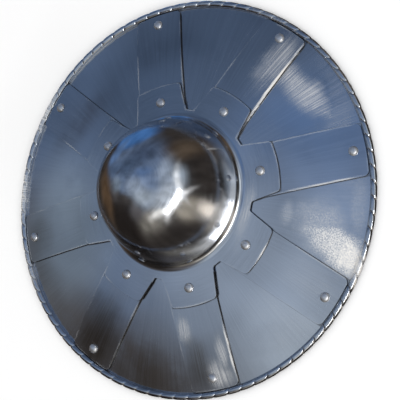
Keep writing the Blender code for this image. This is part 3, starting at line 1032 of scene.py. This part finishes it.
def strap_ring(sizes):
    """The straps' outline, as the ring outline group takes it."""
    reach, half = sizes.strap_end, sizes.strap_half_width
    corner = math.sqrt(reach**2 - half**2)
    return {"reach": reach, "corner": corner, "half": half, "core": sizes.strap_start}


def tab_ring(sizes):
    """The outline of the boss's flange and tabs, as the ring outline group takes it."""
    reach, half, bottom = sizes.tab_end, sizes.tab_half_width, sizes.notch_bottom
    corner = math.sqrt(reach**2 - half**2)
    low_along = bottom * math.cos(STEP / 2) + sizes.notch_half_width * math.sin(STEP / 2)
    low_aside = bottom * math.sin(STEP / 2) - sizes.notch_half_width * math.cos(STEP / 2)
    taper = math.atan2(low_aside - half, corner - low_along)
    ring = {"turn": sizes.tab_turn, "reach": reach, "corner": corner, "half": half}
    return {**ring, "taper": taper, "core": bottom}


def disc_steel(scene):
    sizes = scene.buckler_sizes
    return steel(
        "disc_steel", scene.buckler_looks.steel, roughness=0.13, dulling=0.09, mark_depth=0.00002,
        hollow_depth=0.0002, count=70, run=9, patches=DISC_PATCHES, stipples=DISC_STIPPLES,
        stains=DISC_STAINS, above=(strap_ring(sizes), tab_ring(sizes)),
    )


def strap_steel(scene):
    sizes = scene.buckler_sizes
    return steel(
        "strap_steel", scene.buckler_looks.steel, roughness=0.12, dulling=0.08, mark_depth=0.00001,
        hollow_depth=0.0003, count=60, run=9, offset=1.7, patches=STRAP_PATCHES, stains=STRAP_STAINS,
        own=strap_ring(sizes), above=(tab_ring(sizes),), seams=0.05,
    )


def boss_steel(scene):
    return steel(
        "boss_steel", scene.buckler_looks.steel, roughness=0.125, dulling=0.05, mark_depth=0.00005,
        hollow_depth=0.0003, count=60, run=30, rounded=1, offset=3.1, patches=BOSS_PATCHES,
        own=tab_ring(scene.buckler_sizes), seams=0.08,
    )


def plain_rivet_steel(scene):
    return plain_material("plain_rivet_steel", scene.buckler_looks.rivet, roughness=0.4, metallic=0.9)


def forged_bar(scene):
    return steel(
        "forged_bar", scene.buckler_looks.forged, roughness=0.38, dulling=0.20, mark_depth=0.00001,
        hollow_depth=0.0004, count=60, run=60,
    )


# ---------------------------------------------------------------- operators


class BUCKLER_OT_disc(bpy.types.Operator):
    """Model the dished disc with its roped rim"""

    bl_idname = "buckler.disc"
    bl_label = "Disc"

    def execute(self, context):
        sizes = context.scene.buckler_sizes
        piece = model_disc(sizes)
        drill(sizes, piece, STRAPS, (sizes.rim_rivets, sizes.boss_rivets))
        dress(piece, disc_steel(context.scene), "polished_steel", "disc")
        return {"FINISHED"}


class BUCKLER_OT_straps(bpy.types.Operator):
    """Model the eight straps that lie on the disc"""

    bl_idname = "buckler.straps"
    bl_label = "Straps"

    def execute(self, context):
        material = strap_steel(context.scene)
        for number, piece in zip(STRAPS, model_straps(context.scene.buckler_sizes)):
            dress(piece, material, "polished_steel", f"strap_{number}")
        return {"FINISHED"}


class BUCKLER_OT_boss(bpy.types.Operator):
    """Model the fist boss and its tabbed flange"""

    bl_idname = "buckler.boss"
    bl_label = "Boss"

    def execute(self, context):
        piece = model_boss(context.scene.buckler_sizes)
        dress(piece, boss_steel(context.scene), "polished_steel", "boss")
        return {"FINISHED"}


class BUCKLER_OT_rivets(bpy.types.Operator):
    """Model the sixteen rivets"""

    bl_idname = "buckler.rivets"
    bl_label = "Rivets"

    def execute(self, context):
        material = plain_rivet_steel(context.scene)
        for node, piece in model_rivets(context.scene.buckler_sizes).items():
            dress(piece, material, "rivet_steel", node)
        return {"FINISHED"}


class BUCKLER_OT_grip(bpy.types.Operator):
    """Model the forged grip across the hand hole"""

    bl_idname = "buckler.grip"
    bl_label = "Grip"

    def execute(self, context):
        piece = model_grip(context.scene.buckler_sizes)
        dress(piece, forged_bar(context.scene), "forged_steel", "grip")
        return {"FINISHED"}


# ---------------------------------------------------------------- stage

FLOOR_SIZE = 8.0
FLOOR_COLOUR = (0.9, 0.9, 0.9)
FLOOR_ROUGHNESS = 0.8

# Where the camera stands, how it is turned in degrees, and its lens in millimetres
CAMERA_PLACE = (-0.2643, -0.5243, 1.0495)
CAMERA_TURN = (8.059889, 27.668383, -99.854811)
CAMERA_LENS = 120.46

# The strip lamp that puts a point of light on every rivet: directions of its two ends, and its measures
STRIP_ENDS = ((-0.863, -0.254, 0.435), (-0.254, -0.863, 0.435))
STRIP_DISTANCE = 1.6
STRIP_WIDTH = 0.055
STRIP_POWER = 6.0

# The plain light that falls on everything, and the range within which what is mirrored drifts
PLAIN_LIGHT = 1.05
MIRRORED_LIGHT = (0.70, 1.30)
# How the edges of the cards are drifted: (scale and detail of the noise, how far)
CARD_DRIFTS = ((1.6, 2, 0.08), (6.0, 3, 0.07))
# What is mirrored where there is no card
ROOM_CORNERS = (0.03, 0.026, 0.024, 1)
# Soft cards round the shield that its polished steel mirrors. Their places are on a round chart of the
# room with the zenith in its middle, +X to the right, +Y up and the horizon 1.41 from the middle. Each
# card lies over the ones before it: (what it is, middle, half its size, turn in degrees, softness, colour)
CARDS = (
    ("room", (0.0, 0.0), (2.4, 2.4), 0, 0.2, (0.045, 0.038, 0.033)),
    ("umber wall", (0.15, 1.38), (0.55, 0.20), -5, 0.7, (0.13, 0.080, 0.045)),
    ("olive wall", (1.00, -0.85), (0.50, 0.36), -40, 0.6, (0.11, 0.080, 0.055)),
    ("left haze", (-1.02, 0.10), (0.26, 0.62), 8, 0.7, (0.33, 0.30, 0.25)),
    ("low haze", (-0.95, -0.92), (0.40, 0.20), -45, 0.8, (0.50, 0.44, 0.35)),
    ("sky", (0.30, 0.12), (1.12, 0.95), 18, 0.28, (0.185, 0.25, 0.37)),
    ("far blue", (1.42, 0.62), (0.22, 0.52), 12, 0.4, (0.075, 0.20, 0.47)),
    ("upper far blue", (1.10, 0.98), (0.32, 0.13), -38, 0.6, (0.13, 0.22, 0.40)),
    ("slate", (0.98, 0.00), (0.34, 0.50), 0, 0.8, (0.075, 0.105, 0.17)),
    ("grey blue", (0.66, 0.42), (0.28, 0.48), 0, 0.8, (0.085, 0.125, 0.20)),
    ("outer blue", (0.70, 0.92), (0.21, 0.24), 0, 0.8, (0.14, 0.205, 0.33)),
    ("branch", (0.57, 0.81), (0.13, 0.035), -58, 0.8, (0.075, 0.095, 0.14)),
    ("mid blue", (0.00, -0.12), (0.50, 0.46), 0, 0.8, (0.255, 0.34, 0.50)),
    ("deep blue", (0.38, -0.12), (0.17, 0.30), 0, 0.8, (0.125, 0.20, 0.355)),
    ("pale blue", (-0.16, 0.24), (0.34, 0.36), -20, 0.8, (0.39, 0.46, 0.56)),
    ("left blue", (-0.52, 0.08), (0.26, 0.44), 5, 0.8, (0.47, 0.53, 0.59)),
    ("low blue", (0.05, -0.78), (0.62, 0.20), 0, 0.8, (0.42, 0.49, 0.59)),
    ("brown haze", (0.08, 1.02), (0.26, 0.15), 12, 0.8, (0.13, 0.12, 0.115)),
    ("upper blue", (0.22, 0.91), (0.21, 0.16), 0, 0.8, (0.25, 0.31, 0.38)),
    ("dark wall", (-0.36, 0.78), (0.48, 0.21), 55, 0.6, (0.085, 0.076, 0.071)),
    ("black wall", (-0.80, 1.20), (0.58, 0.48), -40, 0.5, (0.027, 0.022, 0.019)),
    ("brown notch", (-0.80, 0.52), (0.18, 0.24), 0, 0.8, (0.13, 0.12, 0.12)),
    ("streak glow", (-0.56, -0.60), (0.55, 0.20), -48, 0.9, (0.64, 0.70, 0.76)),
    ("streak, upper end", (-1.02, -0.16), (0.07, 0.34), 8, 0.9, (1.40, 1.34, 1.22)),
    ("streak", (-0.76, -0.75), (0.54, 0.058), -50, 0.9, (2.60, 2.55, 2.45)),
    ("low glow", (0.12, -1.06), (0.32, 0.15), 0, 0.8, (0.46, 0.53, 0.60)),
    ("streak, lower end", (-0.10, -1.03), (0.52, 0.055), 0, 0.9, (1.30, 1.32, 1.32)),
    ("beige ground", (-1.10, -1.29), (0.34, 0.14), -11, 0.6, (1.60, 1.42, 1.20)),
)


def surroundings():
    """What the steel mirrors: a dim room with soft cards. Everything else is lit by plain white."""
    world = bpy.data.worlds.new("studio")
    world.use_nodes = True
    world.cycles.sampling_method = "NONE"
    world.node_tree.nodes.clear()
    graph = Graph(world.node_tree)
    direction = graph.add("ShaderNodeTexCoord")["Generated"]
    lift = graph.number("MAXIMUM", graph.plus(graph.axes(direction)["Z"], 1.0), 0.02)
    spread = graph.number("SQRT", graph.number("DIVIDE", 2.0, lift))
    chart = graph.scaled(graph.flat(direction), spread)
    for scale, detail, amount in CARD_DRIFTS:
        drift = graph.vector("MULTIPLY", graph.drift(chart, scale, detail), (amount, amount, 0))
        chart = graph.vector("ADD", chart, drift)
    colour = ROOM_CORNERS
    for name, middle, size, turn, softness, shade in CARDS:
        card = graph.card(chart, (*middle, 0), (*size, 1), (0, 0, math.radians(turn)), label=name)
        reach = graph.vector("LENGTH", card)
        mask = graph.remap(reach, 1 + softness, 1 - softness, curve="SMOOTHERSTEP")
        colour = graph.mix(mask, colour, (*shade, 1))
    strength = graph.remap(graph.noise(chart, 3.6, 3.0, 0.55), 0.3, 0.7, *MIRRORED_LIGHT)
    mirrored_light = graph.add("ShaderNodeBackground", {"Color": colour, "Strength": strength})[0]
    plain_light = graph.add("ShaderNodeBackground", {"Color": (1, 1, 1, 1), "Strength": PLAIN_LIGHT})[0]
    glossy = graph.add("ShaderNodeLightPath")["Is Glossy Ray"]
    chosen = graph.add("ShaderNodeMixShader", {0: glossy, 1: plain_light, 2: mirrored_light})[0]
    graph.add("ShaderNodeOutputWorld", {"Surface": chosen})
    return world


class BUCKLER_OT_stage(bpy.types.Operator):
    """Lay out the floor, the lights, the surroundings and the camera"""

    bl_idname = "buckler.stage"
    bl_label = "Stage"

    def execute(self, context):
        bpy.ops.object.select_all(action="DESELECT")
        bpy.ops.mesh.primitive_plane_add(size=FLOOR_SIZE)
        floor = name_piece("floor")
        floor.data.materials.append(plain_material("floor", FLOOR_COLOUR, FLOOR_ROUGHNESS))
        floor.visible_glossy = False
        upper, lower = (Vector(end).normalized() for end in STRIP_ENDS)
        aim, along = (upper + lower).normalized(), (upper - lower).normalized()
        bpy.ops.object.light_add(type="AREA")
        lamp = context.active_object
        lamp.data.energy = STRIP_POWER
        lamp.data.shape = "RECTANGLE"
        lamp.data.size, lamp.data.size_y = STRIP_WIDTH, STRIP_DISTANCE * (upper - lower).length
        turn = Matrix((along.cross(aim), along, aim)).transposed()
        lamp.matrix_world = Matrix.Translation(aim * STRIP_DISTANCE) @ turn.to_4x4()
        context.scene.world = surroundings()
        context.scene.view_settings.view_transform = "Standard"
        turn = [math.radians(degrees) for degrees in CAMERA_TURN]
        bpy.ops.object.camera_add(location=CAMERA_PLACE, rotation=turn)
        camera = context.active_object
        camera.data.lens = CAMERA_LENS
        context.scene.camera = camera
        return {"FINISHED"}


class BUCKLER_PT_panel(bpy.types.Panel):
    bl_idname = "BUCKLER_PT_panel"
    bl_label = "Buckler"
    bl_space_type = "VIEW_3D"
    bl_region_type = "UI"
    bl_category = "Buckler"

    def draw(self, context):
        for operator in OPERATORS:
            self.layout.operator(operator.bl_idname)


OPERATORS = (
    BUCKLER_OT_disc,
    BUCKLER_OT_straps,
    BUCKLER_OT_boss,
    BUCKLER_OT_rivets,
    BUCKLER_OT_grip,
    BUCKLER_OT_stage,
)
CLASSES = (BucklerSizes, BucklerLooks) + OPERATORS + (BUCKLER_PT_panel,)


def register():
    for made in CLASSES:
        bpy.utils.register_class(made)
    bpy.types.Scene.buckler_sizes = PointerProperty(type=BucklerSizes)
    bpy.types.Scene.buckler_looks = PointerProperty(type=BucklerLooks)


def unregister():
    del bpy.types.Scene.buckler_looks
    del bpy.types.Scene.buckler_sizes
    for made in reversed(CLASSES):
        bpy.utils.unregister_class(made)


def main():
    register()
    bpy.ops.buckler.disc()
    bpy.ops.buckler.straps()
    bpy.ops.buckler.boss()
    bpy.ops.buckler.rivets()
    bpy.ops.buckler.grip()
    bpy.ops.buckler.stage()


if __name__ == "__main__":
    main()
